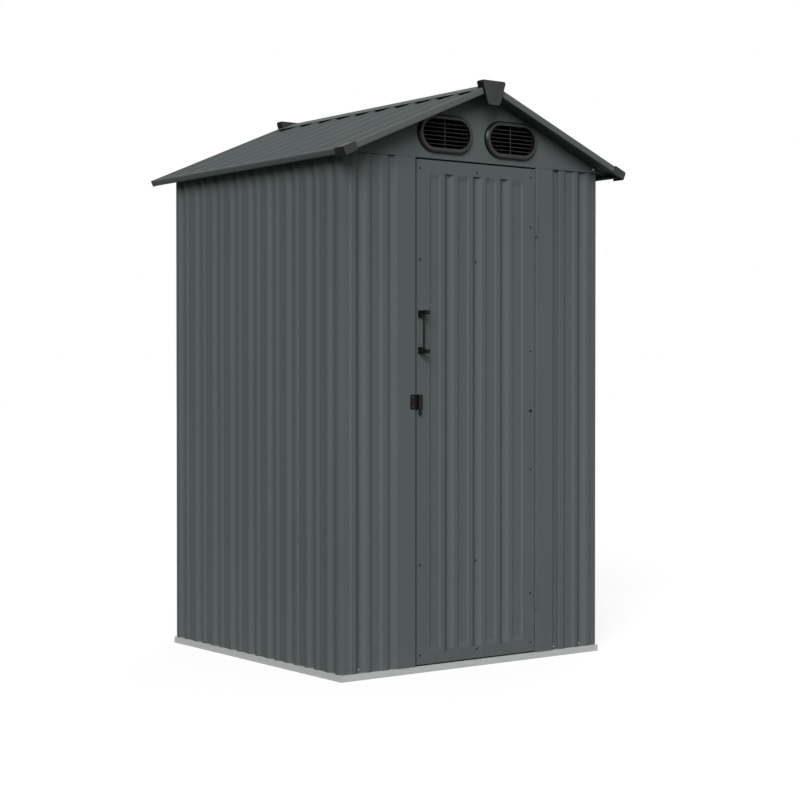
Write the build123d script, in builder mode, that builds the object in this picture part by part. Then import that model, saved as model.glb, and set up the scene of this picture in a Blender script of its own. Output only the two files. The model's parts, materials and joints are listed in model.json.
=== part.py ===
from build123d import *
import os
from math import ceil, cos, radians, sin, tan

# Metal storage shed: ribbed sheet walls on a galvanised base frame, a hinged front door
# and a pitched ribbed roof. X runs across the front, the front faces -Y and Z is up.
# The origin lies on the ground under the middle of the base frame.

# Sheet gauges
sheet = 0.8
rail_gauge = 1.2

# Body, measured over the rib crests, and its base frame
body_width = 1037.0
body_depth = 1003.0
base_lip = 4.5
lip_corner = 3.0
ledge_height = 20.0
upstand_height = 25.0
wall_height = 1565.0
head_drop = 2.0
panel_lap = 12.0

# Pressed ribs: a deep trough and a shallow recess in turn
rib_angle = 40.0
trough_opening = 37.5
trough_depth = 10.0
recess_opening = 43.0
recess_depth = 5.0
side_pitch = 112.0
front_pitch = 111.5
roof_pitch = 112.0
roof_lead = 110.0
door_pitch = 111.5
corner_lap = 11.0

# Doorway and its folded jambs
opening_half = 243.0
jamb_face = 74.0
jamb_proud = 3.0
jamb_depth = 30.0
jamb_stop = 12.0
jamb_lip_angle = 55.0
jamb_lap = 6.0
panel_gap = 27.0

# Door leaf
door_gap = 5.5
door_clear = 5.0
door_depth = 22.0
door_return = 14.5
top_flange = 40.0
bottom_flange = 37.0
brace_inset = 307.0
brace_crown = 40.0
brace_foot = 15.0
brace_depth = 9.0

# Hinges
hinge_inset = 177.0
hinge_length = 78.0
knuckle_radius = 4.0
pin_radius = 1.7
pin_clear = 0.05
knuckle_clear = 0.5
knuckle_stand = 4.0
leaf_gauge = 1.2
leaf_depth = 20.0
leaf_relief = 0.6
door_knuckle_share = 0.4

# Pull handle
handle_inset = 10.2
handle_rise = 957.2
handle_length = 132.0
handle_width = 15.0
handle_foot = 20.0
handle_foot_depth = 12.0
handle_arm = 6.0
handle_reach = 40.5
handle_horn = 13.0
handle_horn_depth = 11.0
grip_radius = 3.4
grip_stand = 21.0

# Door latch
latch_rise = 808.7
latch_height = 46.0
keeper_width = 20.0
keeper_gauge = 1.5
keeper_inset = 2.0
keeper_corner = 3.0
barrel_radius = 6.5
barrel_stand = 8.0
barrel_inset = 5.0
barrel_plate = 19.0
latch_neck_radius = 2.0
latch_neck = 8.0
latch_ball_radius = 6.0
knob_sides = 10

# Roof
roof_angle = 23.0
roof_seat = 4.6
eave_overhang = 45.5
verge_overhang = 76.5
ridge_gap = 6.0
trim_gauge = 0.8
trim_height = 20.0
verge_flange = 12.0
eave_flange = 14.0
eave_foot = 12.0
ridge_cover_half = 57.0
ridge_cover_gauge = 1.0
ridge_cover_inset = 20.0

# Moulded roof caps
cap_wall = 3.0
corner_cap_leg = 46.0
corner_cap_drop = 5.0
corner_cap_top = 2.0
corner_cap_chamfer = 3.5
ridge_cap_top = 99.0
ridge_cap_foot = 49.0
ridge_cap_drop = 69.5
ridge_cap_rise = 8.0
ridge_cap_front = 8.0
ridge_cap_depth = 29.0
ridge_cap_chamfer = 6.0
ridge_cap_round = 12.0

# Gable vents
vent_gap = 54.0
vent_sill = 20.2
vent_margin = 8.4
vent_width = 211.0
vent_rim = 13.5
vent_bevel = 4.5
vent_proud = 14.0
vent_collar = 4.5
vent_collar_depth = 9.0
vent_clear = 0.5
vent_slats = 6
vent_slat_gauge = 1.6
vent_slat_depth = 11.0
vent_slat_angle = 6.0
vent_bar = 2.5

# Inner rails
top_rail_leg = 45.0
lintel_height = 28.0
lintel_depth = 25.0
lintel_clear = 5.0
mid_rail_rise = 780.0
mid_rail_crown = 40.0
mid_rail_foot = 15.0
mid_rail_depth = 22.0
ridge_beam_half = 30.0
ridge_beam_leg = 32.0

# Worked out from the sizes above
side_crest = body_width / 2
front_crest = body_depth / 2
sheet_depth = trough_depth + sheet
side_inner = side_crest - sheet_depth
front_inner = front_crest - sheet_depth
trough_run = trough_depth / tan(radians(rib_angle))
recess_run = recess_depth / tan(radians(rib_angle))
wall_top = ledge_height + wall_height
head_height = wall_top - head_drop
panel_top = head_height + panel_lap
slope_tan = tan(radians(roof_angle))
slope_cos = cos(radians(roof_angle))
slope_sin = sin(radians(roof_angle))
roof_apex = wall_top + roof_seat + side_crest * slope_tan + sheet_depth / slope_cos
slope_length = (side_crest + eave_overhang) / slope_cos
verge_face = front_crest + verge_overhang
ridge_cap_low = roof_apex - ridge_cap_drop
ridge_cap_high = roof_apex + ridge_cap_rise
mid_rail_height = ledge_height + mid_rail_rise
jamb_outer = opening_half + jamb_face
gable_face = front_crest + jamb_proud
door_face = gable_face
door_half = opening_half - door_gap
door_low = ledge_height + door_clear
door_high = head_height - door_clear
field_low = door_low + bottom_flange
field_high = door_high - top_flange
brace_heights = (door_low + brace_inset, door_high - brace_inset)
hinge_heights = (door_low + hinge_inset, door_high - hinge_inset)
handle_x = handle_inset - door_half
handle_low = door_low + handle_rise
handle_high = handle_low + handle_length
latch_middle = door_low + latch_rise


def trough_count(half_span, pitch):
    """How many troughs fit beside the middle one, with room left for a corner recess."""
    return int((half_span - recess_depth - recess_run * 2 + recess_opening / 2) / pitch - 0.5)


side_reach = trough_count(front_crest, side_pitch)
front_reach = trough_count(side_crest, front_pitch)
side_crest_end = (side_reach + 0.5) * side_pitch - recess_opening / 2
front_crest_end = (front_reach + 0.5) * front_pitch - recess_opening / 2


def roof_under(half_span):
    """Height of the roof sheet's lowest face at a distance from the ridge."""
    return roof_apex - half_span * slope_tan - sheet_depth / slope_cos


def groove(middle, opening, depth):
    """Four corners of one pressed groove, from left to right."""
    run = depth / tan(radians(rib_angle))
    left = middle - opening / 2
    right = middle + opening / 2
    return [(left, 0), (left + run, -depth), (right - run, -depth), (right, 0)]


def ribbed_path(start, end, troughs, recesses):
    """Outer line of a ribbed sheet from start to end, with grooves at the given places."""
    places = [(middle, trough_opening, trough_depth) for middle in troughs]
    places += [(middle, recess_opening, recess_depth) for middle in recesses]
    path = [(start, 0)]
    for middle, opening, depth in sorted(places):
        path += groove(middle, opening, depth)
    path.append((end, 0))
    return path


def sheet_outline(path, gauge):
    """Closed outline of a sheet folded along path, with its gauge to the right of travel."""
    corners = [Vector(*point) for point in path]
    runs = [(b - a).normalized() for a, b in zip(corners, corners[1:])]
    normals = [Vector(run.Y, -run.X) for run in runs]
    back = []
    for place, corner in enumerate(corners):
        before = normals[max(place - 1, 0)]
        after = normals[min(place, len(normals) - 1)]
        back.append(corner + (before + after) * (gauge / (1 + before.dot(after))))
    return corners + back[::-1]


def folded(plane, path, gauge, length):
    """A folded sheet: its section on a plane, drawn out along the plane's normal."""
    with BuildPart() as piece:
        with BuildSketch(plane):
            with BuildLine():
                Polyline(*sheet_outline(path, gauge), close=True)
            make_face()
        extrude(amount=length)
    return piece.part


def write(label, solid):
    """Name a finished piece and write it to its own file."""
    solid.label = label
    export_step(solid, f"parts/{label}.step")


def wall_plane(outward, reach, height):
    """Section plane of an upright wall: local y points outward, local z up."""
    out = Vector(*outward)
    return Plane(origin=out * reach + Vector(0, 0, height), x_dir=out.cross(Vector(0, 0, 1)))


def roof_plane(side, start):
    """Section plane across one roof slope: local y is the slope's normal, local z runs down it."""
    down = Vector(side * slope_cos, 0, -slope_sin)
    return Plane(origin=Vector(0, 0, roof_apex) + down * start, x_dir=(0, side, 0), z_dir=down)


def slope_plane(side):
    """Plane along one roof slope at its section: local x runs down the slope, local y is its normal."""
    return Plane(
        origin=(0, 0, roof_apex),
        x_dir=(side * slope_cos, 0, -slope_sin),
        z_dir=(0, -side, 0),
    )


FRONT, BACK, LEFT, RIGHT = (0, -1), (0, 1), (-1, 0), (1, 0)
os.makedirs("parts", exist_ok=True)


# Base frame: lip, riser, ledge under the wall and an upstand behind it, mitred at the corners
def base_rail(outward, crest, half_length):
    """One rail of the base frame, as long as the side it lies under."""
    out = Vector(*outward)
    along = Vector(out.Y, -out.X)
    path = [
        (crest + base_lip, rail_gauge),
        (crest, rail_gauge),
        (crest, ledge_height),
        (crest - sheet_depth, ledge_height),
        (crest - sheet_depth, ledge_height + upstand_height),
    ]
    reach = half_length + base_lip
    section = Plane(origin=along * -reach, x_dir=out, z_dir=along)
    with BuildPart() as rail:
        add(folded(section, path[::-1], rail_gauge, reach * 2))
        for end in (-1, 1):
            corner = along * (reach * end) + out * (crest + base_lip)
            split(bisect_by=Plane(origin=corner, z_dir=along * -end + out), keep=Keep.TOP)
            nick = corner - along * (lip_corner * end)
            split(bisect_by=Plane(origin=nick, z_dir=along * -end - out), keep=Keep.TOP)
    return rail.part


for label, outward, crest, half in (
    ("base_rail_back", BACK, front_crest, side_crest),
    ("base_rail_left", LEFT, side_crest, front_crest),
    ("base_rail_right", RIGHT, side_crest, front_crest),
):
    write(label, base_rail(outward, crest, half))

with BuildPart() as base_rail_front:
    add(base_rail(FRONT, front_crest, side_crest))
    with BuildSketch(Plane.XY.offset(ledge_height)):
        with Locations((0, -front_inner)):
            Rectangle(jamb_outer * 2, sheet_depth)
    extrude(amount=upstand_height * 2, mode=Mode.SUBTRACT)
write("base_rail_front", base_rail_front.part)


# Wall sheets: ribbed panels that stand on the base ledge
def wall_grooves(pitch, first, last):
    """Places of the troughs first to last and of the recesses between them."""
    troughs = [(first + count) * pitch for count in range(int(last - first) + 1)]
    recesses = [middle + pitch / 2 for middle in troughs[:-1]]
    return troughs, recesses


panel_edge = jamb_outer + panel_gap
panel_first = ceil((panel_edge + recess_opening / 2) / front_pitch + 0.5)
panel_troughs = [count * front_pitch for count in range(panel_first, front_reach + 1)]
panel_recesses = [middle - front_pitch / 2 for middle in panel_troughs]
side_grooves = wall_grooves(side_pitch, -side_reach, side_reach)
back_grooves = wall_grooves(front_pitch, -front_reach, front_reach)
side_path = ribbed_path(-side_crest_end, side_crest_end, *side_grooves)
back_path = ribbed_path(-front_crest_end, front_crest_end, *back_grooves)
panel_path = [(panel_edge, -trough_depth)]
panel_path += ribbed_path(panel_edge, front_crest_end, panel_troughs, panel_recesses)
panel_mirror = [(-across, out) for across, out in reversed(panel_path)]

for label, outward, crest, path, top in (
    ("left_wall", LEFT, side_crest, side_path, wall_top),
    ("right_wall", RIGHT, side_crest, side_path, wall_top),
    ("back_wall", BACK, front_crest, back_path, panel_top),
    ("front_panel_left", FRONT, front_crest, panel_path, panel_top),
    ("front_panel_right", FRONT, front_crest, panel_mirror, panel_top),
):
    write(label, folded(wall_plane(outward, crest, ledge_height), path, sheet, top - ledge_height))


# Corner strips: bent in the recess at each corner and lapped behind the outermost crests
corner_path = [
    (front_crest_end - corner_lap, front_crest - sheet),
    (front_crest_end, front_crest - sheet),
    (front_crest_end + recess_run, front_crest - recess_depth),
    (side_crest - recess_depth, front_crest - recess_depth),
    (side_crest - recess_depth, side_crest_end + recess_run),
    (side_crest - sheet, side_crest_end),
    (side_crest - sheet, side_crest_end - corner_lap),
]
for label, side, end in (
    ("corner_front_left", -1, -1),
    ("corner_front_right", 1, -1),
    ("corner_back_left", -1, 1),
    ("corner_back_right", 1, 1),
):
    path = [(side * across, end * along) for across, along in corner_path]
    if side != end:
        path.reverse()
    write(label, folded(Plane.XY.offset(ledge_height), path, sheet, wall_top - ledge_height))


# Door jambs: a stop behind the leaf, the reveal, the proud face, a sloped lip and a foot behind the panel
lip_run = (jamb_proud + trough_depth) / tan(radians(jamb_lip_angle))
jamb_path = [
    (opening_half - jamb_stop, jamb_proud - jamb_depth),
    (opening_half, jamb_proud - jamb_depth),
    (opening_half, jamb_proud),
    (jamb_outer, jamb_proud),
    (jamb_outer + lip_run, -trough_depth),
    (panel_edge + jamb_lap, -trough_depth),
]
jamb_mirror = [(-across, out) for across, out in reversed(jamb_path)]
jamb_plane = wall_plane(FRONT, front_crest, ledge_height)
for label, path in (("door_jamb_left", jamb_path), ("door_jamb_right", jamb_mirror)):
    write(label, folded(jamb_plane, path, sheet, head_height - ledge_height))


# Gables: flat sheets from the door head up to the roof, the front one cut for two vents
vent_rise = (roof_under(0) - head_height - vent_sill) * slope_cos
vent_reach = (vent_gap / 2 + vent_width) * slope_sin + vent_margin
vent_height = (vent_rise - vent_reach) * 2 / (1 + slope_cos - slope_sin)
vent_x = (vent_gap + vent_width) / 2
vent_z = head_height + vent_sill + vent_height / 2
vent_hole_width = vent_width - (vent_rim - vent_collar - vent_clear) * 2
vent_hole_height = vent_height - (vent_rim - vent_collar - vent_clear) * 2
gable_half = side_crest - recess_depth
gable_points = [
    (-gable_half, head_height),
    (gable_half, head_height),
    (gable_half, roof_under(gable_half)),
    (0, roof_under(0)),
    (-gable_half, roof_under(gable_half)),
]


def gable(end):
    """A gable sheet that stands proud of the wall, hemmed back to its crests along the lower edge."""
    with BuildPart() as plate:
        with BuildSketch(Plane(origin=(0, gable_face * end, 0), x_dir=(1, 0, 0), z_dir=(0, -1, 0))):
            Polygon(*gable_points, align=None)
        extrude(amount=sheet * end)
        with BuildSketch(Plane.XY.offset(head_height)):
            with Locations((0, (gable_face - jamb_proud / 2) * end)):
                Rectangle(gable_half * 2, jamb_proud)
        extrude(amount=sheet)
    return plate.part


vent_face = Plane(origin=(0, -gable_face, 0), x_dir=(1, 0, 0), z_dir=(0, -1, 0))
with BuildPart() as front_gable:
    add(gable(-1))
    with BuildSketch(vent_face):
        with Locations((-vent_x, vent_z), (vent_x, vent_z)):
            SlotOverall(vent_hole_width, vent_hole_height)
    extrude(amount=-sheet, mode=Mode.SUBTRACT)
    with BuildSketch(Plane.XY.offset(head_height)):
        with Locations((0, -gable_face)):
            Rectangle(opening_half * 2, jamb_proud + sheet_depth, align=(Align.CENTER, Align.MIN))
    extrude(amount=sheet)
write("front_gable", front_gable.part)
write("back_gable", gable(1))


# Gable vents: a proud bevelled rim, a collar through the sheet, slats and a middle bar
vent_inner_width = vent_width - vent_rim * 2
vent_inner_height = vent_height - vent_rim * 2
vent_pitch = vent_inner_height / (vent_slats + 1)
for label, across in (("vent_left", -vent_x), ("vent_right", vent_x)):
    face = Plane(origin=(across, -gable_face, vent_z), x_dir=(1, 0, 0), z_dir=(0, -1, 0))
    slat_end = (across - vent_width / 2, -gable_face, vent_z)
    with BuildPart() as slats:
        with BuildSketch(Plane(origin=slat_end, x_dir=(0, 1, 0), z_dir=(1, 0, 0))):
            for count in range(vent_slats):
                with Locations((0, (count - (vent_slats - 1) / 2) * vent_pitch)):
                    Rectangle(vent_slat_depth, vent_slat_gauge, rotation=vent_slat_angle)
        extrude(amount=vent_width)
        with BuildSketch(face.offset(-vent_slat_depth)):
            SlotOverall(vent_inner_width + vent_collar, vent_inner_height + vent_collar)
        extrude(amount=vent_slat_depth * 2, mode=Mode.INTERSECT)
    with BuildPart() as vent:
        with BuildSketch(face):
            SlotOverall(vent_width, vent_height)
        extrude(amount=vent_proud)
        chamfer(faces().sort_by(Axis.Y)[0].edges(), vent_bevel)
        with BuildSketch(face):
            SlotOverall(vent_inner_width + vent_collar * 2, vent_inner_height + vent_collar * 2)
        extrude(amount=-vent_collar_depth)
        with BuildSketch(face.offset(-vent_collar_depth)):
            SlotOverall(vent_inner_width, vent_inner_height)
        extrude(amount=vent_collar_depth + vent_proud, mode=Mode.SUBTRACT)
        with BuildSketch(face):
            Rectangle(vent_bar, vent_inner_height + vent_collar)
        extrude(amount=vent_bar)
        add(slats.part)
    write(label, vent.part)


# Inner rails: eave rails under the roof, a lintel and its twin at the back, and rails at mid height
def rail_plane(direction, half_length):
    """Section plane of a level rail: local x along direction, local y up."""
    along = Vector(*direction).cross(Vector(0, 0, 1))
    return Plane(origin=along * -half_length, x_dir=direction, z_dir=along)


rail_back = side_inner - rail_gauge
eave_rail_path = [
    (rail_back, wall_top - top_rail_leg),
    (rail_back, roof_under(rail_back)),
    (side_crest, roof_under(side_crest)),
]
for label, outward in (("top_rail_left", (-1, 0, 0)), ("top_rail_right", (1, 0, 0))):
    write(label, folded(rail_plane(outward, front_inner), eave_rail_path, rail_gauge, front_inner * 2))

lintel_path = [
    (lintel_depth - front_inner, head_height),
    (-front_inner, head_height),
    (-front_inner, head_height + lintel_height),
    (lintel_depth - front_inner, head_height + lintel_height),
]
lintel_half = (roof_under(0) - head_height - lintel_height) / slope_tan - lintel_clear
for label, inward in (("front_lintel", (0, 1, 0)), ("top_rail_back", (0, -1, 0))):
    write(label, folded(rail_plane(inward, lintel_half), lintel_path, rail_gauge, lintel_half * 2))


def hat_path(start, height, crown, foot, depth):
    """Line of a hat channel whose feet lie at start."""
    low = height - crown / 2
    high = height + crown / 2
    return [
        (start, low - foot),
        (start, low),
        (start + depth, low),
        (start + depth, high),
        (start, high),
        (start, high + foot),
    ]


mid_rail_reach = front_inner - (mid_rail_depth + rail_gauge) * 2
with BuildPart() as mid_rails:
    for inward, wall, half in (
        ((1, 0, 0), side_inner, mid_rail_reach),
        ((-1, 0, 0), side_inner, mid_rail_reach),
        ((0, -1, 0), front_inner, rail_back),
    ):
        hat = hat_path(-wall, mid_rail_height, mid_rail_crown, mid_rail_foot, mid_rail_depth)
        add(folded(rail_plane(inward, half), hat, rail_gauge, half * 2))
write("mid_rails", mid_rails.part)

beam_shoulder = roof_under(ridge_beam_half)
beam_path = [
    (-ridge_beam_half, beam_shoulder - ridge_beam_leg),
    (-ridge_beam_half, beam_shoulder),
    (0, roof_under(0)),
    (ridge_beam_half, beam_shoulder),
    (ridge_beam_half, beam_shoulder - ridge_beam_leg),
]
beam_half = gable_face - sheet
write("ridge_beam", folded(rail_plane((1, 0, 0), beam_half), beam_path, rail_gauge, beam_half * 2))


# Roof: the same ribbed sheet turned over, so that its ribs stand up, with verge and eave trims
roof_edge = verge_face - trim_gauge
rib_top = trough_opening - trough_run * 2
pan_end = roof_edge - rib_top - trough_run
roof_count = int((roof_edge - roof_lead) * 2 / roof_pitch) + 1
roof_ribs = [roof_lead - roof_edge + count * roof_pitch for count in range(roof_count)]
rib_places = [rib_top / 2 - roof_edge] + roof_ribs + [roof_edge - rib_top / 2]
roof_strips = [(near + far) / 2 for near, far in zip(rib_places, rib_places[1:])]
roof_line = [(-roof_edge, -trough_depth), (rib_top - roof_edge, -trough_depth)]
roof_line += ribbed_path(-pan_end, pan_end, roof_ribs, roof_strips)
roof_line += [(roof_edge - rib_top, -trough_depth), (roof_edge, -trough_depth)]
roof_path = [(across, -trough_depth - up) for across, up in roof_line]
roof_mirror = [(-across, up) for across, up in reversed(roof_path)]
verge_path = [
    (verge_face - verge_flange, trim_gauge),
    (verge_face, trim_gauge),
    (verge_face, -trim_height),
    (verge_face - verge_flange, -trim_height),
]
verge_mirror = [(-across, up) for across, up in reversed(verge_path)]
eave_end = slope_length + trim_gauge
eave_path = [
    (eave_end - eave_flange, trim_gauge),
    (eave_end, trim_gauge),
    (eave_end, -trim_height),
    (eave_end - eave_foot, -trim_height),
]
eave_half = verge_face - verge_flange - trim_gauge


def verge_trim(side, end):
    """The trim down one sloping edge, cut plumb where it meets its twin at the ridge."""
    path = verge_path if side == end else verge_mirror
    with BuildPart() as trim:
        add(folded(roof_plane(side, -trim_height), path, trim_gauge, eave_end + trim_height))
        split(bisect_by=Plane(origin=(0, 0, 0), z_dir=(side, 0, 0)), keep=Keep.TOP)
    return trim.part


def corner_cap(side):
    """A moulded cap over one front eave corner: a top and two outer walls, open below."""
    inner_leg = (verge_face - corner_cap_leg) * side
    with BuildPart() as cap:
        with BuildSketch(slope_plane(side).offset(inner_leg)):
            with Locations((eave_end + cap_wall, trim_gauge + corner_cap_top)):
                Rectangle(
                    corner_cap_leg + cap_wall,
                    trim_height + corner_cap_drop + trim_gauge + corner_cap_top,
                    align=(Align.MAX, Align.MAX),
                )
            chamfer(vertices().group_by(Axis.X)[-1].sort_by(Axis.Y)[-1], corner_cap_chamfer)
        extrude(amount=(corner_cap_leg + cap_wall) * side)
        with BuildSketch(slope_plane(side).offset(inner_leg)):
            with Locations((eave_end, trim_gauge)):
                Rectangle(corner_cap_leg * 2, trim_height * 2, align=(Align.MAX, Align.MAX))
        extrude(amount=corner_cap_leg * side, mode=Mode.SUBTRACT)
    return cap.part


for side, hand, path in ((-1, "left", roof_mirror), (1, "right", roof_path)):
    panel = folded(roof_plane(side, ridge_gap), path, sheet, slope_length - ridge_gap)
    write(f"roof_panel_{hand}", panel)
    eave = slope_plane(side).offset(-eave_half)
    write(f"eave_trim_{hand}", folded(eave, eave_path, trim_gauge, eave_half * 2))
    for end, place in ((-1, "front"), (1, "back")):
        write(f"verge_trim_{place}_{hand}", verge_trim(side, end))
    write(f"eave_caps_{hand}", corner_cap(side))

cover_drop = ridge_cover_half * slope_tan
cover_path = [
    (ridge_cover_half, roof_apex - cover_drop),
    (0, roof_apex),
    (-ridge_cover_half, roof_apex - cover_drop),
]
cover_half = verge_face - ridge_cover_inset
write("ridge_cover", folded(rail_plane((1, 0, 0), cover_half), cover_path, ridge_cover_gauge, cover_half * 2))

# Ridge caps: keystones that hang over the verge and sit on the ridge cover
tent_apex = roof_apex + ridge_cover_gauge / slope_cos
for label, end in (("ridge_cap_front", -1), ("ridge_cap_back", 1)):
    outer = Plane(origin=(0, (verge_face + ridge_cap_front) * end, 0), x_dir=(1, 0, 0), z_dir=(0, -1, 0))
    inner = Plane(origin=(0, verge_face * end, 0), x_dir=(1, 0, 0), z_dir=(0, -1, 0))
    with BuildPart() as cap:
        with BuildSketch(outer):
            Polygon(
                (-ridge_cap_foot / 2, ridge_cap_low),
                (ridge_cap_foot / 2, ridge_cap_low),
                (ridge_cap_top / 2, ridge_cap_high),
                (-ridge_cap_top / 2, ridge_cap_high),
                align=None,
            )
            fillet(vertices().group_by(Axis.Y)[0], ridge_cap_round)
            chamfer(vertices().group_by(Axis.Y)[-1], ridge_cap_chamfer)
        extrude(amount=ridge_cap_depth * end)
        with BuildSketch(inner):
            Polygon(
                (0, tent_apex),
                (-ridge_cap_top, tent_apex - ridge_cap_top * slope_tan),
                (-ridge_cap_top, ridge_cap_low - ridge_cap_top),
                (ridge_cap_top, ridge_cap_low - ridge_cap_top),
                (ridge_cap_top, tent_apex - ridge_cap_top * slope_tan),
                align=None,
            )
        extrude(amount=ridge_cap_depth * end, mode=Mode.SUBTRACT)
    write(label, cap.part)


# Door leaf: a ribbed field inside flat borders, folded back all round
door_field_half = door_pitch * 1.5 + recess_opening / 2
door_troughs, door_recesses = wall_grooves(door_pitch, -1, 1)
door_recesses = [-1.5 * door_pitch] + door_recesses + [1.5 * door_pitch]
leaf_start = [(door_return - door_half, -door_depth), (-door_half, -door_depth)]
leaf_end = [(door_half, -door_depth), (door_half - door_return, -door_depth)]
field_path = leaf_start + ribbed_path(-door_half, door_half, door_troughs, door_recesses) + leaf_end
border_path = leaf_start + [(-door_half, 0), (door_half, 0)] + leaf_end

with BuildPart() as door_panel:
    for path, low, high in (
        (border_path, door_low, field_low),
        (field_path, field_low, field_high),
        (border_path, field_high, door_high),
    ):
        add(folded(wall_plane(FRONT, door_face, low), path, sheet, high - low))
    for height in (field_low - sheet, field_high):
        with BuildSketch(wall_plane(FRONT, door_face, height)):
            Rectangle(door_field_half * 2, sheet_depth, align=(Align.CENTER, Align.MAX))
        extrude(amount=sheet)
    for height in (door_low, door_high - sheet):
        with BuildSketch(wall_plane(FRONT, door_face, height)):
            Rectangle(door_half * 2, door_depth, align=(Align.CENTER, Align.MAX))
        extrude(amount=sheet)
write("door_panel", door_panel.part)

door_inner = door_half - sheet
with BuildPart() as door_braces:
    for height in brace_heights:
        hat = hat_path(sheet_depth - door_face, height, brace_crown, brace_foot, brace_depth)
        add(folded(rail_plane((0, 1, 0), door_inner), hat, rail_gauge, door_inner * 2))
write("door_braces", door_braces.part)


# Hinges: each pin is fixed in the frame leaf's two end knuckles and turns in the door leaf's middle one
hinge_x = opening_half - door_gap / 2
hinge_y = -(door_face + knuckle_stand)
leaf_front = -door_face + leaf_relief
door_knuckle = hinge_length * door_knuckle_share
frame_knuckle = (hinge_length - door_knuckle) / 2 - knuckle_clear


def leaf(edge, middle):
    """One hinge leaf's plate, standing in the gap beside the door, with its back on edge."""
    with BuildPart() as plate:
        with BuildSketch(Plane.XY.offset(middle - hinge_length / 2)):
            with Locations((edge, leaf_front)):
                Rectangle(leaf_gauge, leaf_depth, align=(Align.MIN, Align.MIN))
        extrude(amount=hinge_length)
    return plate.part


def knuckle(edge, low, length):
    """One knuckle round the pin's line, with the strip that joins it to its leaf."""
    with BuildPart() as ring:
        with BuildSketch(Plane.XY.offset(low)):
            with Locations((hinge_x, hinge_y)):
                Circle(knuckle_radius)
            with Locations((edge, hinge_y)):
                Rectangle(leaf_gauge, leaf_front - hinge_y, align=(Align.MIN, Align.MIN))
        extrude(amount=length)
    return ring.part


def pin(radius, middle):
    """A round rod on the pin's line, as long as the hinge."""
    with BuildPart() as rod:
        with BuildSketch(Plane.XY.offset(middle - hinge_length / 2)):
            with Locations((hinge_x, hinge_y)):
                Circle(radius)
        extrude(amount=hinge_length)
    return rod.part


frame_leaf_edge = opening_half - leaf_gauge
with BuildPart() as hinge_frame_leaves:
    for middle in hinge_heights:
        add(leaf(frame_leaf_edge, middle))
        add(knuckle(frame_leaf_edge, middle - hinge_length / 2, frame_knuckle))
        add(knuckle(frame_leaf_edge, middle + hinge_length / 2 - frame_knuckle, frame_knuckle))
        add(pin(pin_radius, middle))
write("hinge_frame_leaves", hinge_frame_leaves.part)

with BuildPart() as hinge_door_leaves:
    for middle in hinge_heights:
        add(leaf(door_half, middle))
        add(knuckle(door_half, middle - door_knuckle / 2, door_knuckle))
        add(pin(pin_radius + pin_clear, middle), mode=Mode.SUBTRACT)
write("hinge_door_leaves", hinge_door_leaves.part)


# Pull handle: two moulded ends with a round grip between their arms
handle_side = Plane(
    origin=(handle_x + handle_width / 2, -door_face, 0),
    x_dir=(0, -1, 0),
    z_dir=(-1, 0, 0),
)
with BuildPart() as door_handle:
    with BuildSketch(handle_side):
        for foot, up in ((handle_low, 1), (handle_high, -1)):
            Polygon(
                (0, foot),
                (handle_reach, foot),
                (handle_reach, foot + handle_horn * up),
                (handle_reach - handle_horn_depth, foot + handle_horn * up),
                (handle_reach - handle_horn_depth, foot + handle_arm * up),
                (handle_foot_depth, foot + handle_arm * up),
                (handle_foot_depth, foot + handle_foot * up),
                (0, foot + handle_foot * up),
                align=None,
            )
    extrude(amount=handle_width)
    with BuildSketch(Plane.XY.offset(handle_low + handle_arm / 2)):
        with Locations((handle_x, -door_face - grip_stand)):
            Circle(grip_radius)
    extrude(amount=handle_high - handle_low - handle_arm)
write("door_handle", door_handle.part)


# Latch: a keeper plate on the jamb and, on the leaf, an upright barrel with a ball-ended bolt
latch_face = Plane(origin=(0, -door_face, latch_middle), x_dir=(1, 0, 0), z_dir=(0, -1, 0))
latch_low = latch_middle - latch_height / 2
barrel_x = barrel_inset - door_half
ball_height = latch_low - latch_neck - latch_ball_radius / 2

with BuildPart() as latch_keeper:
    with BuildSketch(latch_face):
        with Locations((-opening_half - keeper_inset - keeper_width / 2, 0)):
            RectangleRounded(keeper_width, latch_height, keeper_corner)
    extrude(amount=keeper_gauge)
write("latch_keeper", latch_keeper.part)

with BuildPart() as latch_barrel:
    with BuildSketch(latch_face):
        with Locations((barrel_plate / 2 - door_half, 0)):
            RectangleRounded(barrel_plate, latch_height, keeper_corner)
    extrude(amount=keeper_gauge)
    with BuildSketch(Plane.XY.offset(latch_low)):
        with Locations((barrel_x, -door_face - barrel_stand)):
            Circle(barrel_radius)
            Rectangle(barrel_radius, barrel_stand, align=(Align.CENTER, Align.MIN))
    extrude(amount=latch_height)
    with BuildSketch(Plane.XY.offset(ball_height)):
        with Locations((barrel_x, -door_face - barrel_stand)):
            Circle(latch_neck_radius)
    extrude(amount=latch_low - ball_height)
    knob = Plane(origin=(barrel_x, -door_face - barrel_stand, ball_height), x_dir=(1, 0, 0), z_dir=(0, -1, 0))
    with BuildSketch(knob):
        RegularPolygon(latch_ball_radius, knob_sides, rotation=180 / knob_sides)
        with Locations((-latch_ball_radius, 0)):
            Rectangle(latch_ball_radius * 2, latch_ball_radius * 4, mode=Mode.SUBTRACT)
    revolve(axis=Axis((barrel_x, -door_face - barrel_stand, 0), (0, 0, 1)))
write("latch_barrel", latch_barrel.part)
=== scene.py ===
import json
from math import cos, pi, radians, sin

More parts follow.
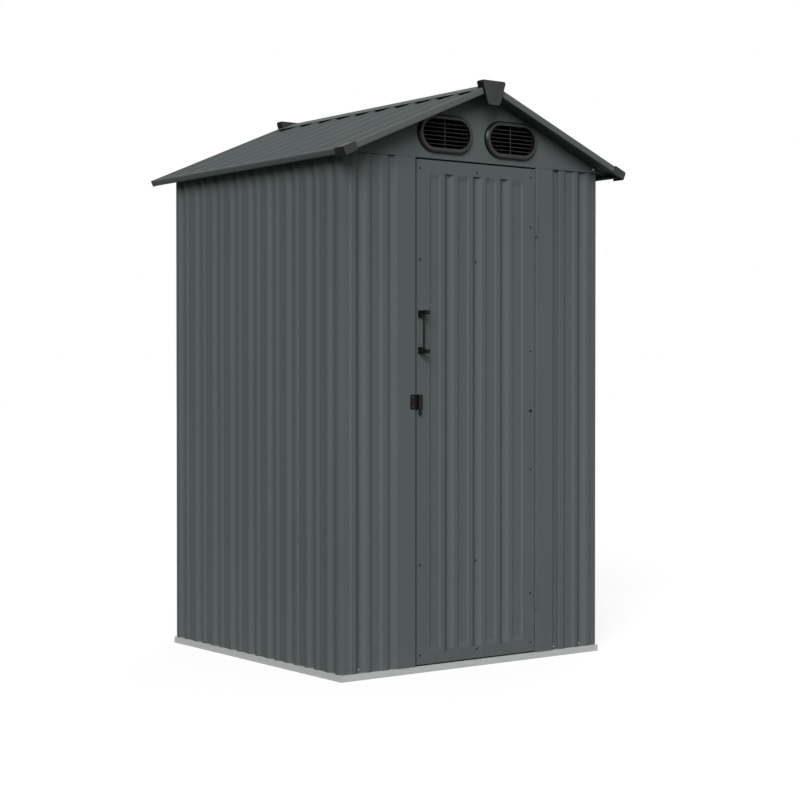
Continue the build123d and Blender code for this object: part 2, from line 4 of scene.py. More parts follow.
import bmesh
import bpy
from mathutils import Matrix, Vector

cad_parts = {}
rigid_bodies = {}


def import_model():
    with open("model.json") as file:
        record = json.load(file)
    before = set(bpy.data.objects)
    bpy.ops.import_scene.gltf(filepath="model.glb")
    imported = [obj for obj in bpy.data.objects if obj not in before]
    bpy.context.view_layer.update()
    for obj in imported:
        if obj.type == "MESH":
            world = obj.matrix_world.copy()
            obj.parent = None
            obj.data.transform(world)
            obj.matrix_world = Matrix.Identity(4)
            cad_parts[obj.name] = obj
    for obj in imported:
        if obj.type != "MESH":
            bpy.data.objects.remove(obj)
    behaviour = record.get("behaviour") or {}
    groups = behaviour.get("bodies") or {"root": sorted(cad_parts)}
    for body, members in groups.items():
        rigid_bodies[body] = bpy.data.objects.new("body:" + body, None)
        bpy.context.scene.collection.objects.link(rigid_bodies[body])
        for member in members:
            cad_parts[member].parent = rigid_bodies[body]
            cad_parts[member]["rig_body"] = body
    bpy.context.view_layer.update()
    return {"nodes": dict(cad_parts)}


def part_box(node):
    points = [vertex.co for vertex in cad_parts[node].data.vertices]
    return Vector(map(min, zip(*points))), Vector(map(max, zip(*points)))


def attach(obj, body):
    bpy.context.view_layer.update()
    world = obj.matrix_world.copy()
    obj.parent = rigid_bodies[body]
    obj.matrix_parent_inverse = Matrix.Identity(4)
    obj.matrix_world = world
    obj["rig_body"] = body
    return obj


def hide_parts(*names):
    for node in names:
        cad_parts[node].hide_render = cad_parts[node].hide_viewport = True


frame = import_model()
nodes = frame["nodes"]

# Directions, and for each roof slope the way down it and the way out of it
UPRIGHT = Vector((0, 0, 1))
ACROSS = Vector((1, 0, 0))
DEEP = Vector((0, 1, 0))
ROOF_ANGLE = radians(23)
SLOPES = {
    hand: (
        Vector((side * cos(ROOF_ANGLE), 0, -sin(ROOF_ANGLE))),
        Vector((side * sin(ROOF_ANGLE), 0, cos(ROOF_ANGLE))),
    )
    for hand, side in (("left", -1), ("right", 1))
}

# Folds of the sheets, in metres
MERGE = 1e-5
FLAT_ANGLE = radians(1)
SMOOTH_ANGLE = radians(32)
ALONG_LEAST = 0.999
THIN_FACE = 0.0015
BEND_LEAST = radians(12)
BEND_WIDTH = 0.0035
BEND_STEPS = 3
EAVE_BEND = 0.005
TROUGH_DEPTH = 0.010
TROUGH_LEAST = 0.007
TROUGH_MOST = 0.0125
TROUGH_ROUND = 0.0066
TROUGH_STEPS = 6
HEM_ROUND = 0.0018
HEM_STEPS = 2
NEAR = 0.0002

# Shallow recesses of the door leaf
DOOR_BORDER = 0.03
RECESS_LEAST = 0.0045
RECESS_MOST = 0.0065
RECESS_RAMP = 0.018

# Moulded pieces
MOULD_ROUND = 0.0012
CAP_ROUND = 0.0022
HANDLE_ROUND = 0.0008
MOULD_STEPS = 2
MOULD_ANGLE = radians(28)

# Faces that take painted shade, by the cosine of their lie: the roof sheet's flats, and all but the
# front faces of caps and vents
FLAT_LIE = 0.90
FRONT_FACING = -0.95

# Screw heads
SCREW_RADIUS = 0.0032
SCREW_HEIGHT = 0.0020
SCREW_SIDES = 20
DOME_FROM = 0.9 * SCREW_HEIGHT
DOME_ROUND = 0.0011
DOME_STEPS = 3
CROSS_WIDTH = 0.0009
CROSS_LENGTH = 0.0038
CROSS_DEPTH = 0.0009

# Places of the screws
LEFT_STILE_INSET = 0.0095
RIGHT_STILE_INSET = 0.0180
TOP_INSET = 0.0275
BOTTOM_INSET = 0.0291
BRACE_INSET = 0.307
CENTRE_SCREW = -0.003
RIGHT_SCREWS = (0.2130, 0.6125, 0.9925, 1.391)
MID_SCREW_HEIGHT = 0.801
MID_SCREW_SIZE = 1.5
KEEPER_SCREW_SPREAD = 0.0147
KEEPER_SCREW_SIZE = 0.5
BASE_SCREW_HEIGHT = 0.030
BASE_SCREW_SIZE = 0.8
FRONT_SCREWS = (-0.451, 0.3315, 0.442)
BACK_SCREWS = (-0.446, -0.223, 0.0, 0.223, 0.446)
GABLE_SCREW_ACROSS = 0.492
GABLE_SCREW_HEIGHT = 1.5948

# Slide plate of the latch
KEEPER_CLEARANCE = 0.0012
PLATE_LAP = 0.004
PLATE_STEP = 0.0008

# Linear colours
WALL_PAINT = (0.073, 0.0855, 0.0842, 1)
ROOF_PAINT = (0.0615, 0.0735, 0.0718, 1)
TRIM_PAINT = (0.080, 0.087, 0.086, 1)
# Painted shade: the roof sheet's flats take the roof paint darkened by this factor
FLAT_PAINTED_SHADE = 0.77
DUST = (0.30, 0.29, 0.26, 1)
DUST_TOP = 0.28
ZINC_DARK = (0.30, 0.31, 0.31, 1)
ZINC_PALE = (0.40, 0.41, 0.41, 1)
CHARCOAL = (0.029, 0.030, 0.030, 1)
BLACK = (0.005, 0.0054, 0.0056, 1)
SCREW_BLACK = (0.007, 0.008, 0.008, 1)
SCREW_ZINC = (0.70, 0.70, 0.69, 1)
SCREW_PLAIN = (0.42, 0.42, 0.41, 1)
SCREW_GREY = (0.14, 0.145, 0.145, 1)
WHITE = (1, 1, 1, 1)
FLOOR_COLOUR = (0.14, 0.14, 0.14, 1)
FLOOR_SHADOW = (0.35, 0.35, 0.35, 1)
FLOOR_GLOW = (0.70, 0.70, 0.70, 1)

# Studio: floor, light, and the camera at the photograph's angle
FLOOR_SIZE = 80.0
AMBIENT = 0.09
CAMERA_PLACE = (-3.5489, -4.8561, 0.9192)
CAMERA_YAW = radians(36.712)
CAMERA_PITCH = radians(0.832)
CAMERA_LENS = 80.26
CAMERA_SENSOR = 36.0
CAMERA_REACH = 200.0

# Places taken from the frame
door_low, door_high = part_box("door_panel")
door_face = door_low.y
keeper_low, keeper_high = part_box("latch_keeper")
barrel_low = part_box("latch_barrel")[0]
room_half_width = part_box("base_rail_right")[1].x
room_half_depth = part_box("base_rail_back")[1].y


# Nodes of a material or world
def add_node(owner, kind, **values):
    """A node of one kind with its named inputs set."""
    node = owner.node_tree.nodes.new(kind)
    for label, value in values.items():
        node.inputs[label.replace("_", " ")].default_value = value
    return node


def join(owner, start, end):
    """A link from an output socket to an input socket."""
    owner.node_tree.links.new(start, end)


def reckon(owner, operation, *values):
    """The result of a sum. Each value is a number or a socket."""
    node = add_node(owner, "ShaderNodeMath")
    node.operation = operation
    for socket, value in zip(node.inputs, values):
        if isinstance(value, float):
            socket.default_value = value
        else:
            join(owner, value, socket)
    return node.outputs["Value"]


def mix_shaders(owner, amount, first, second):
    """A shader that goes from first to second with amount."""
    mix = add_node(owner, "ShaderNodeMixShader")
    for socket, start in zip(mix.inputs, (amount, first, second)):
        join(owner, start, socket)
    return mix.outputs["Shader"]


def to_the_eye(owner):
    """1 for rays that show a surface, straight, mirrored or through glass, and 0 for others."""
    path = add_node(owner, "ShaderNodeLightPath")
    seen = reckon(owner, "MAXIMUM", path.outputs["Is Camera Ray"], path.outputs["Is Glossy Ray"])
    return reckon(owner, "MAXIMUM", seen, path.outputs["Is Transmission Ray"])


def object_place(material, stretch=(1, 1, 1)):
    """Object coordinates, stretched by a Mapping node."""
    place = add_node(material, "ShaderNodeTexCoord")
    mapping = add_node(material, "ShaderNodeMapping", Scale=stretch)
    join(material, place.outputs["Object"], mapping.inputs["Vector"])
    return mapping.outputs["Vector"]


def object_axes(material):
    """Object coordinates as three sockets, X, Y and Z."""
    split = add_node(material, "ShaderNodeSeparateXYZ")
    join(material, object_place(material), split.inputs["Vector"])
    return split.outputs


def noise(material, scale, detail, stretch=(1, 1, 1)):
    """Noise between 0 and 1 over the piece."""
    cloud = add_node(material, "ShaderNodeTexNoise", Scale=scale, Detail=detail)
    join(material, object_place(material, stretch), cloud.inputs["Vector"])
    return cloud.outputs["Fac"]


def between(material, value, low, high, from_low=0.3, from_high=0.7):
    """A value mapped to low and high, from the usual range of noise if no other is given."""
    ramp = add_node(
        material, "ShaderNodeMapRange", From_Min=from_low, From_Max=from_high, To_Min=low, To_Max=high
    )
    join(material, value, ramp.inputs["Value"])
    return ramp.outputs["Result"]


def blend_colours(material, amount, first, second):
    """A colour that goes from first to second with amount. Either may be a socket."""
    mix = add_node(material, "ShaderNodeMix")
    mix.data_type = "RGBA"
    join(material, amount, mix.inputs["Factor"])
    for label, colour in (("A", first), ("B", second)):
        socket = [s for s in mix.inputs if s.name == label and s.type == "RGBA"][0]
        if isinstance(colour, tuple):
            socket.default_value = colour
        else:
            join(material, colour, socket)
    return [s for s in mix.outputs if s.type == "RGBA"][0]


def shade(colour, factor):
    """A colour made darker or lighter by a factor."""
    return tuple(part * factor for part in colour[:3]) + (1,)


def drifting(material, colour, darkest, palest, cloud):
    """A colour that drifts over the piece between two shades of itself."""
    return blend_colours(
        material, between(material, cloud, low=0, high=1), shade(colour, darkest), shade(colour, palest)
    )


def bump(material, shader, height, strength, depth):
    """A bump of the given height socket on the shader."""
    relief = add_node(material, "ShaderNodeBump", Strength=strength, Distance=depth)
    join(material, height, relief.inputs["Height"])
    join(material, relief.outputs["Normal"], shader.inputs["Normal"])


# Finishes
def finish(name, colour, roughness, metallic=0.0, specular=0.5):
    """A new material and its shader, with the constants set."""
    material = bpy.data.materials.new(name)
    material.use_nodes = True
    shader = material.node_tree.nodes["Principled BSDF"]
    shader.inputs["Base Color"].default_value = colour
    shader.inputs["Roughness"].default_value = roughness
    shader.inputs["Metallic"].default_value = metallic
    shader.inputs["Specular IOR Level"].default_value = specular
    return material, shader


def painted_steel(name, colour):
    """Satin powder coat: faint drift of tone, orange peel and dust splashed up from the ground."""
    material, shader = finish(name, colour, roughness=0.5, specular=0.03)
    cloud = noise(material, scale=2.2, detail=3, stretch=(1, 1, 0.4))
    tone = drifting(material, colour, 0.96, 1.04, cloud)
    height = object_axes(material)["Z"]
    lowness = between(material, height, low=1, high=0, from_low=0.0, from_high=DUST_TOP)
    grit = noise(material, scale=55, detail=5)
    speckle = between(material, grit, low=0.0, high=0.05, from_low=0.42, from_high=0.72)
    dusted = blend_colours(material, reckon(material, "MULTIPLY", lowness, speckle), tone, DUST)
    join(material, dusted, shader.inputs["Base Color"])
    streaks = noise(material, scale=9, detail=4, stretch=(1, 1, 0.3))
    join(material, between(material, streaks, low=0.46, high=0.56), shader.inputs["Roughness"])
    bump(material, shader, noise(material, scale=700, detail=2), strength=0.06, depth=0.0004)
    return material


def galvanised_steel(name):
    """Dull zinc: a faint spangle of crystals and a fine unevenness."""
    material, shader = finish(name, ZINC_PALE, roughness=0.5, metallic=0.55)
    crystals = add_node(material, "ShaderNodeTexVoronoi", Scale=85.0)
    join(material, object_place(material), crystals.inputs["Vector"])
    grain = add_node(material, "ShaderNodeSeparateColor")
    join(material, crystals.outputs["Color"], grain.inputs["Color"])
    spangle = between(material, grain.outputs["Red"], low=0.4, high=0.6, from_low=0, from_high=1)
    join(material, blend_colours(material, spangle, ZINC_DARK, ZINC_PALE), shader.inputs["Base Color"])
    rough = between(material, grain.outputs["Green"], low=0.42, high=0.58, from_low=0, from_high=1)
    join(material, rough, shader.inputs["Roughness"])
    bump(material, shader, noise(material, scale=260, detail=3), strength=0.08, depth=0.0004)
    return material


def moulded_plastic(name, colour, roughness, specular):
    """Moulded plastic: a fine spark-eroded grain and a faint drift of tone."""
    material, shader = finish(name, colour, roughness, specular=specular)
    tone = drifting(material, colour, 0.85, 1.15, noise(material, scale=30, detail=3))
    join(material, tone, shader.inputs["Base Color"])
    sheen = noise(material, scale=120, detail=3)
    rough = between(material, sheen, low=roughness - 0.06, high=roughness + 0.06)
    join(material, rough, shader.inputs["Roughness"])
    bump(material, shader, noise(material, scale=1400, detail=2), strength=0.12, depth=0.0003)
    return material


def screw_metal(name, colour, roughness, metallic):
    """Plated steel of a screw head, faintly mottled."""
    material, shader = finish(name, colour, roughness, metallic=metallic, specular=0.1)
    tone = drifting(material, colour, 0.8, 1.1, noise(material, scale=400, detail=2))
    join(material, tone, shader.inputs["Base Color"])
    bump(material, shader, noise(material, scale=2500, detail=2), strength=0.1, depth=0.0002)
    return material


wall_paint = painted_steel("wall_paint", WALL_PAINT)
roof_paint = painted_steel("roof_paint", ROOF_PAINT)
# Painted shade: a darker copy of the roof paint for the roof sheet's flats
roof_flat_painted_shade = painted_steel("roof_flat_painted_shade", shade(ROOF_PAINT, FLAT_PAINTED_SHADE))
trim_paint = painted_steel("trim_paint", TRIM_PAINT)
zinc_sheet = galvanised_steel("zinc_sheet")
cap_plastic = moulded_plastic("cap_plastic", CHARCOAL, roughness=0.5, specular=0.15)
# Painted shade: black copies of the cap plastic for the faces of caps and vents that don't look to the
# front; the vents' copy is glossier
cap_sides_painted_shade = moulded_plastic("cap_sides_painted_shade", BLACK, roughness=0.35, specular=0.04)
vent_sides_painted_shade = moulded_plastic("vent_sides_painted_shade", BLACK, roughness=0.25, specular=0.15)
black_plastic = moulded_plastic("handle_plastic", BLACK, roughness=0.4, specular=0.1)
dark_screw = screw_metal("dark_screw", SCREW_BLACK, roughness=0.45, metallic=0.0)
zinc_screw = screw_metal("zinc_screw", SCREW_ZINC, roughness=0.3, metallic=0.8)
plain_screw = screw_metal("plain_screw", SCREW_PLAIN, roughness=0.4, metallic=0.3)
dull_screw = screw_metal("dull_screw", SCREW_GREY, roughness=0.5, metallic=0.0)

# Finish of each solid: by its slot, then the caps, vents and verge trims
SLOT_FINISH = {
    "painted_wall": wall_paint,
    "painted_roof": roof_paint,
    "galvanised": zinc_sheet,
    "black_plastic": black_plastic,
}
# Caps and vents: the node, the width of its rounding, and the black plastic of its painted shade
CAP_SHAPES = (
    ("ridge_cap_front", CAP_ROUND, cap_sides_painted_shade), ("ridge_cap_back", CAP_ROUND, cap_sides_painted_shade),
    ("eave_caps_left", MOULD_ROUND, cap_sides_painted_shade), ("eave_caps_right", MOULD_ROUND, cap_sides_painted_shade),
    ("vent_left", MOULD_ROUND, vent_sides_painted_shade), ("vent_right", MOULD_ROUND, vent_sides_painted_shade),
)
node_slot = {name: node.material_slots[0].material.name for name, node in nodes.items()}
for name, node in nodes.items():
    node.material_slots[0].material = SLOT_FINISH[node_slot[name]]
for name, width, plastic in CAP_SHAPES:
    nodes[name].material_slots[0].material = cap_plastic
for hand in SLOPES:
    for end in ("front", "back"):
        nodes[f"verge_trim_{end}_{hand}"].material_slots[0].material = trim_paint


# Modelling helpers
def only(piece):
    """Select one object alone and make it the active one."""
    bpy.ops.object.select_all(action="DESELECT")
    piece.select_set(True)
    bpy.context.view_layer.objects.active = piece


def working_copy(node, label):
    """A copy of a solid as one closed, flat-faced mesh, free of the frame."""
    only(nodes[node])
    bpy.ops.object.duplicate()
    piece = bpy.context.view_layer.objects.active
    piece.name = label
    piece.data.name = label
    bpy.ops.object.parent_clear(type="CLEAR_KEEP_TRANSFORM")
    for mark in [key for key in piece.keys() if key.startswith("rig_")]:
        del piece[mark]
    bpy.ops.mesh.customdata_custom_splitnormals_clear()
    bpy.ops.object.mode_set(mode="EDIT")
    bpy.ops.mesh.select_mode(type="EDGE")
    bpy.ops.mesh.select_all(action="SELECT")
    bpy.ops.mesh.remove_doubles(threshold=MERGE)
    bpy.ops.mesh.dissolve_limited(angle_limit=FLAT_ANGLE)
    bpy.ops.mesh.select_all(action="DESELECT")
    bpy.ops.object.mode_set(mode="OBJECT")
    return piece


def even_shading(piece):
    """Smooth the rounded edges and keep the flats flat."""
    only(piece)
    bpy.ops.object.shade_smooth_by_angle(angle=SMOOTH_ANGLE)
    bpy.ops.object.modifier_add(type="WEIGHTED_NORMAL")
    piece.modifiers[-1].keep_sharp = True
    bpy.ops.object.modifier_apply(modifier=piece.modifiers[-1].name)


def stand_for(piece, node):
    """Let a finished copy take the place of the solid that it was made from."""
    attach(piece, nodes[node]["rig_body"])
    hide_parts(node)


def draw_recess_ends(piece):
    """Draw the ends of the door's shallow recesses out into soft ramps."""
    middle = (door_low.z + door_high.z) / 2
    for end in (1, -1):
        bpy.ops.object.mode_set(mode="EDIT")
        bpy.ops.mesh.select_mode(type="VERT")
        bpy.ops.mesh.select_all(action="DESELECT")
        cage = bmesh.from_edit_mesh(piece.data)
        for vert in cage.verts:
            sunk = RECESS_LEAST < vert.co.y - door_face < RECESS_MOST
            inside = door_low.z + DOOR_BORDER < vert.co.z < door_high.z - DOOR_BORDER
            vert.select_set(sunk and inside and (vert.co.z - middle) * end > 0)
        bmesh.update_edit_mesh(piece.data)
        bpy.ops.transform.translate(value=(0, 0, -end * RECESS_RAMP))
        bpy.ops.object.mode_set(mode="OBJECT")


def hemmed_gable(node):
    """A gable with the front of its lower hem rounded, so that the joint below it shows."""
    piece = working_copy(node, node + "_hemmed")
    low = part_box(node)[0]
    bpy.ops.object.mode_set(mode="EDIT")
    cage = bmesh.from_edit_mesh(piece.data)
    for edge in cage.edges:
        in_front = all(vert.co.y < low.y + NEAR for vert in edge.verts)
        edge.select_set(in_front and all(vert.co.z < low.z + NEAR for vert in edge.verts))
    bmesh.update_edit_mesh(piece.data)
    bpy.ops.mesh.bevel(offset=HEM_ROUND, segments=HEM_STEPS, affect="EDGES")
    bpy.ops.object.mode_set(mode="OBJECT")
    even_shading(piece)
    stand_for(piece, node)


def round_folds(piece, along, width, steps, chosen):
    """Round the chosen folds that run along a sheet."""
    bpy.ops.object.mode_set(mode="EDIT")
    bpy.ops.mesh.select_mode(type="EDGE")
    bpy.ops.mesh.select_all(action="DESELECT")
    cage = bmesh.from_edit_mesh(piece.data)
    for edge in cage.edges:
        run = edge.verts[1].co - edge.verts[0].co
        length = run.length
        if len(edge.link_faces) != 2 or abs(run.dot(along)) < ALONG_LEAST * length:
            continue
        wide = all(face.calc_area() > THIN_FACE * length for face in edge.link_faces)
        folded = wide and edge.calc_face_angle(0) > BEND_LEAST
        edge.select_set(folded and chosen(edge.verts[0].co))
    bmesh.update_edit_mesh(piece.data)
    bpy.ops.mesh.bevel(offset=width, segments=steps, affect="EDGES", clamp_overlap=True)
    bpy.ops.object.mode_set(mode="OBJECT")


def bent_sheet(node, along, width=BEND_WIDTH, reshape=None, outward=None):
    """A sheet with its folds rounded as a press leaves them.

    Where the way out of the sheet is given, the folds at the foot of its deep troughs are rounded wider.
    """
    piece = working_copy(node, node + "_bent")
    if reshape:
        reshape(piece)
    if outward:
        crest = max(vert.co.dot(outward) for vert in piece.data.vertices)

        def in_trough(spot):
            return TROUGH_LEAST < crest - spot.dot(outward) < TROUGH_MOST

        round_folds(piece, along, TROUGH_ROUND, TROUGH_STEPS, in_trough)
        round_folds(piece, along, width, BEND_STEPS, lambda spot: not in_trough(spot))
    else:
        round_folds(piece, along, width, BEND_STEPS, lambda spot: True)
    even_shading(piece)
    stand_for(piece, node)
    return piece


def moulded_piece(node, width):
    """A moulded piece with its edges rounded."""
    piece = working_copy(node, node + "_moulded")
    only(piece)
    bpy.ops.object.modifier_add(type="BEVEL")
    rounding = piece.modifiers[-1]
    rounding.limit_method = "ANGLE"
    rounding.angle_limit = MOULD_ANGLE
    rounding.width = width
    rounding.segments = MOULD_STEPS
    bpy.ops.object.modifier_apply(modifier=rounding.name)
    even_shading(piece)
    stand_for(piece, node)
    return piece


def paint_shade_on_flats(piece, outward):
    """Painted shade: the flats of a roof sheet, which face up into the light, take a darker copy of the
    roof paint than its rib sides.
    """
    piece.data.materials.append(roof_flat_painted_shade)
    for face in piece.data.polygons:
        face.material_index = 1 if face.normal.dot(outward) > FLAT_LIE else 0


def paint_shade_on_sides(piece, plastic):
    """Painted shade: black on every face of a cap or vent but those that look to the front."""
    piece.data.materials.append(plastic)
    for face in piece.data.polygons:
        face.material_index = 0 if face.normal.y < FRONT_FACING else 1


# Bent sheets, with the direction of their folds
for label in (
    "corner_front_left", "corner_front_right", "corner_back_left", "corner_back_right",
    "door_jamb_left", "door_jamb_right",
):
    bent_sheet(label, UPRIGHT)
for label, outward in (
    ("left_wall", -ACROSS), ("right_wall", ACROSS), ("back_wall", DEEP),
    ("front_panel_left", -DEEP), ("front_panel_right", -DEEP),
):
    bent_sheet(label, UPRIGHT, outward=outward)
bent_sheet("door_panel", UPRIGHT, reshape=draw_recess_ends, outward=-DEEP)
hemmed_gable("front_gable")
for hand, (down_slope, off_slope) in SLOPES.items():
    # The roof sheet's flats take painted shade
    paint_shade_on_flats(bent_sheet(f"roof_panel_{hand}", down_slope), off_slope)
    bent_sheet(f"verge_trim_front_{hand}", down_slope)
    bent_sheet(f"verge_trim_back_{hand}", down_slope)
    bent_sheet(f"eave_trim_{hand}", DEEP, EAVE_BEND)
    bent_sheet(f"base_rail_{hand}", DEEP)
bent_sheet("ridge_cover", DEEP)
bent_sheet("base_rail_front", ACROSS)
bent_sheet("base_rail_back", ACROSS)

# Moulded caps, vents and handle, with painted shade on the caps' and vents' faces that don't look to the
# front
for label, width, plastic in CAP_SHAPES:
    paint_shade_on_sides(moulded_piece(label, width), plastic)
moulded_piece("door_handle", HANDLE_ROUND)


# Screws and slide plate
def screw_head():
    """A domed screw head with a cross recess, its seat at the origin and its head along -Y."""
    bpy.ops.object.select_all(action="DESELECT")
    bpy.ops.mesh.primitive_cylinder_add(
        vertices=SCREW_SIDES, radius=SCREW_RADIUS, depth=SCREW_HEIGHT,
        location=(0, -SCREW_HEIGHT / 2, 0), rotation=(pi / 2, 0, 0),
    )
    head = bpy.context.view_layer.objects.active
    bpy.ops.object.transform_apply(location=True, rotation=True, scale=True)
    bpy.ops.object.mode_set(mode="EDIT")
    bpy.ops.mesh.select_mode(type="EDGE")
    bpy.ops.mesh.select_all(action="DESELECT")
    cage = bmesh.from_edit_mesh(head.data)
    for edge in cage.edges:
        edge.select_set(all(vert.co.y < -DOME_FROM for vert in edge.verts))
    bmesh.update_edit_mesh(head.data)
    bpy.ops.mesh.bevel(offset=DOME_ROUND, segments=DOME_STEPS, affect="EDGES")
    bpy.ops.object.mode_set(mode="OBJECT")
    for length, width in ((CROSS_LENGTH, CROSS_WIDTH), (CROSS_WIDTH, CROSS_LENGTH)):
        bpy.ops.object.select_all(action="DESELECT")
        bpy.ops.mesh.primitive_cube_add(size=1, location=(0, -SCREW_HEIGHT, 0))
        cutter = bpy.context.view_layer.objects.active
        cutter.scale = (length, CROSS_DEPTH * 2, width)
        bpy.ops.object.transform_apply(location=True, rotation=True, scale=True)
        only(head)
        bpy.ops.object.modifier_add(type="BOOLEAN")
        cut = head.modifiers[-1]
        cut.operation = "DIFFERENCE"
        cut.object = cutter
        bpy.ops.object.modifier_apply(modifier=cut.name)
        bpy.data.objects.remove(cutter)
    even_shading(head)
    return head


def drive_screws(label, spots, body, material, size=1.0, turn=0):
    """Screw heads at the given seats, turned about Z to face outwards, as one piece."""
    copies = []
    for spot in spots:
        only(head)
        bpy.ops.object.duplicate()
        copy = bpy.context.view_layer.objects.active
        copy.location = spot
        copy.rotation_euler = (0, 0, turn)
        copy.scale = (size, size, size)
        copies.append(copy)
    bpy.ops.object.select_all(action="DESELECT")
    for copy in copies:
        copy.select_set(True)
    bpy.context.view_layer.objects.active = copies[0]
    bpy.ops.object.transform_apply(location=True, rotation=True, scale=True)
    bpy.ops.object.join()
    row = bpy.context.view_layer.objects.active
    row.name = label
    row.data.name = label
    row.data.materials.clear()
    row.data.materials.append(material)
    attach(row, body)


def slide_plate(label):
    """The latch's slide plate on the leaf, which covers the gap between keeper and barrel."""
    low = Vector((keeper_high.x + KEEPER_CLEARANCE, keeper_low.y + PLATE_STEP, keeper_low.z))
    high = Vector((barrel_low.x + PLATE_LAP, door_face, keeper_high.z))
    bpy.ops.object.select_all(action="DESELECT")
    bpy.ops.mesh.primitive_cube_add(size=1)
    plate = bpy.context.view_layer.objects.active
    plate.name = label
    plate.data.name = label
    plate.scale = high - low
    plate.location = (low + high) / 2
    bpy.ops.object.transform_apply(location=True, rotation=True, scale=True)
    bpy.ops.object.modifier_add(type="BEVEL")
    plate.modifiers[-1].width = PLATE_STEP
    plate.modifiers[-1].segments = MOULD_STEPS
    bpy.ops.object.modifier_apply(modifier=plate.modifiers[-1].name)
    even_shading(plate)
    plate.data.materials.append(black_plastic)
    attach(plate, "door")


head = screw_head()
left_stile = door_low.x + LEFT_STILE_INSET
right_stile = door_high.x - RIGHT_STILE_INSET
bottom_row = door_low.z + BOTTOM_INSET
top_row = door_high.z - TOP_INSET
brace_low = door_low.z + BRACE_INSET
brace_high = door_high.z - BRACE_INSET
door_spots = [(left_stile, height) for height in (bottom_row, brace_low, brace_high, top_row)]
door_spots += [(CENTRE_SCREW, height) for height in (bottom_row, top_row)]
door_spots += [(right_stile, height) for height in (bottom_row, *RIGHT_SCREWS, top_row)]
door_seats = [(across, door_face, height) for across, height in door_spots]
door_seats += [(0, door_face + TROUGH_DEPTH, height) for height in (brace_low, brace_high)]
drive_screws("door_screws", door_seats, "door", dark_screw)
mid_seats = [(right_stile, door_face, MID_SCREW_HEIGHT)]
drive_screws("door_mid_screw", mid_seats, "door", dark_screw, MID_SCREW_SIZE)

slide_plate("latch_slide_plate")
keeper_middle = (keeper_low + keeper_high) / 2
keeper_seats = [
    (keeper_middle.x, keeper_low.y, keeper_middle.z + side * KEEPER_SCREW_SPREAD) for side in (-1, 1)
]
drive_screws("keeper_screws", keeper_seats, "shed", dull_screw, KEEPER_SCREW_SIZE)

panel_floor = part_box("front_panel_left")[0].y + TROUGH_DEPTH
front_seats = [(across, panel_floor, BASE_SCREW_HEIGHT) for across in FRONT_SCREWS]
drive_screws("front_base_screws", front_seats, "shed", plain_screw, BASE_SCREW_SIZE)
gable_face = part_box("front_gable")[0].y
gable_seats = [(side * GABLE_SCREW_ACROSS, gable_face, GABLE_SCREW_HEIGHT) for side in (-1, 1)]
drive_screws("gable_screws", gable_seats, "shed", zinc_screw)
back_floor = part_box("back_wall")[1].y - TROUGH_DEPTH
back_seats = [(across, back_floor, BASE_SCREW_HEIGHT) for across in BACK_SCREWS]
drive_screws("back_base_screws", back_seats, "shed", plain_screw, BASE_SCREW_SIZE, turn=pi)
bpy.data.objects.remove(head)


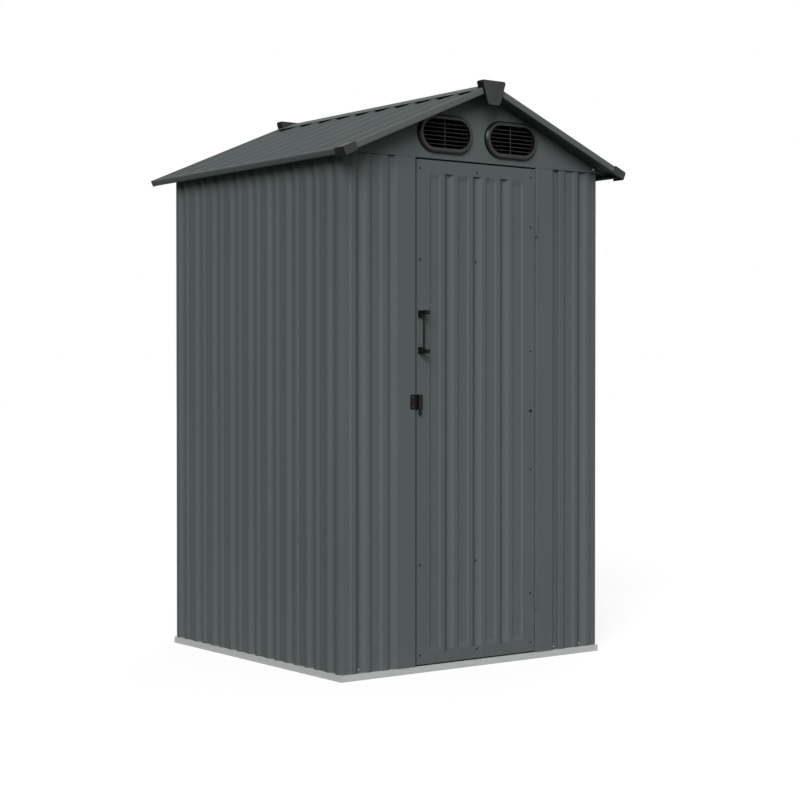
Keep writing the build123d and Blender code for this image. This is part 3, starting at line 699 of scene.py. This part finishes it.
# Floor, world, lamps and camera
def floor_finish():
    """Pale floor: near white to the eye with the object's soft shadow kept, and dim inside the walls."""
    material = bpy.data.materials.new("pale_floor")
    material.use_nodes = True
    material.node_tree.nodes.clear()
    plain = add_node(material, "ShaderNodeBsdfDiffuse", Color=FLOOR_COLOUR)
    shadowed = add_node(material, "ShaderNodeBsdfDiffuse", Color=FLOOR_SHADOW)
    glow = add_node(material, "ShaderNodeEmission", Color=FLOOR_GLOW)
    axes = object_axes(material)
    beyond = [
        reckon(material, "GREATER_THAN", reckon(material, "ABSOLUTE", axes[axis]), half)
        for axis, half in (("X", room_half_width), ("Y", room_half_depth))
    ]
    join(material, reckon(material, "MAXIMUM", *beyond), glow.inputs["Strength"])
    bright = add_node(material, "ShaderNodeAddShader")
    join(material, shadowed.outputs["BSDF"], bright.inputs[0])
    join(material, glow.outputs["Emission"], bright.inputs[1])
    shown = mix_shaders(material, to_the_eye(material), plain.outputs["BSDF"], bright.outputs["Shader"])
    end = add_node(material, "ShaderNodeOutputMaterial")
    join(material, shown, end.inputs["Surface"])
    return material


def studio_world():
    """White to the eye, with a dim even light on the object."""
    world = bpy.data.worlds.new("studio")
    world.use_nodes = True
    world.node_tree.nodes.clear()
    dim = add_node(world, "ShaderNodeBackground", Color=WHITE, Strength=AMBIENT)
    white = add_node(world, "ShaderNodeBackground", Color=WHITE, Strength=1.0)
    shown = mix_shaders(world, to_the_eye(world), dim.outputs["Background"], white.outputs["Background"])
    end = add_node(world, "ShaderNodeOutputWorld")
    join(world, shown, end.inputs["Surface"])
    return world


def lamp(label, towards, strength, spread):
    """A distant soft lamp that shines along towards."""
    data = bpy.data.lights.new(label, "SUN")
    data.energy = strength
    data.angle = radians(spread)
    light = bpy.data.objects.new(label, data)
    bpy.context.scene.collection.objects.link(light)
    light.rotation_euler = Vector(towards).to_track_quat("-Z", "Y").to_euler()


def photo_camera():
    """The camera at the place and with the lens solved from the photograph."""
    data = bpy.data.cameras.new("camera")
    data.lens = CAMERA_LENS
    data.sensor_width = CAMERA_SENSOR
    data.clip_end = CAMERA_REACH
    camera = bpy.data.objects.new("camera", data)
    bpy.context.scene.collection.objects.link(camera)
    camera.location = CAMERA_PLACE
    camera.rotation_euler = (pi / 2 - CAMERA_PITCH, 0, -CAMERA_YAW)
    return camera


bpy.ops.object.select_all(action="DESELECT")
bpy.ops.mesh.primitive_plane_add(size=FLOOR_SIZE, location=(0, 0, 0))
floor = bpy.context.view_layer.objects.active
floor.name = "floor"
floor.data.materials.append(floor_finish())
lamp("key_lamp", towards=(0.96, 1.0, -0.68), strength=3.6, spread=35)
lamp("fill_lamp", towards=(0.15, 1.0, -0.15), strength=1.0, spread=60)
lamp("top_lamp", towards=(0.0, 0.0, -1.0), strength=0.75, spread=80)
lamp("back_lamp", towards=(-0.80, -0.62, -0.06), strength=2.6, spread=30)
bpy.context.scene.world = studio_world()
bpy.context.scene.camera = photo_camera()
bpy.context.scene.view_settings.view_transform = "Standard"
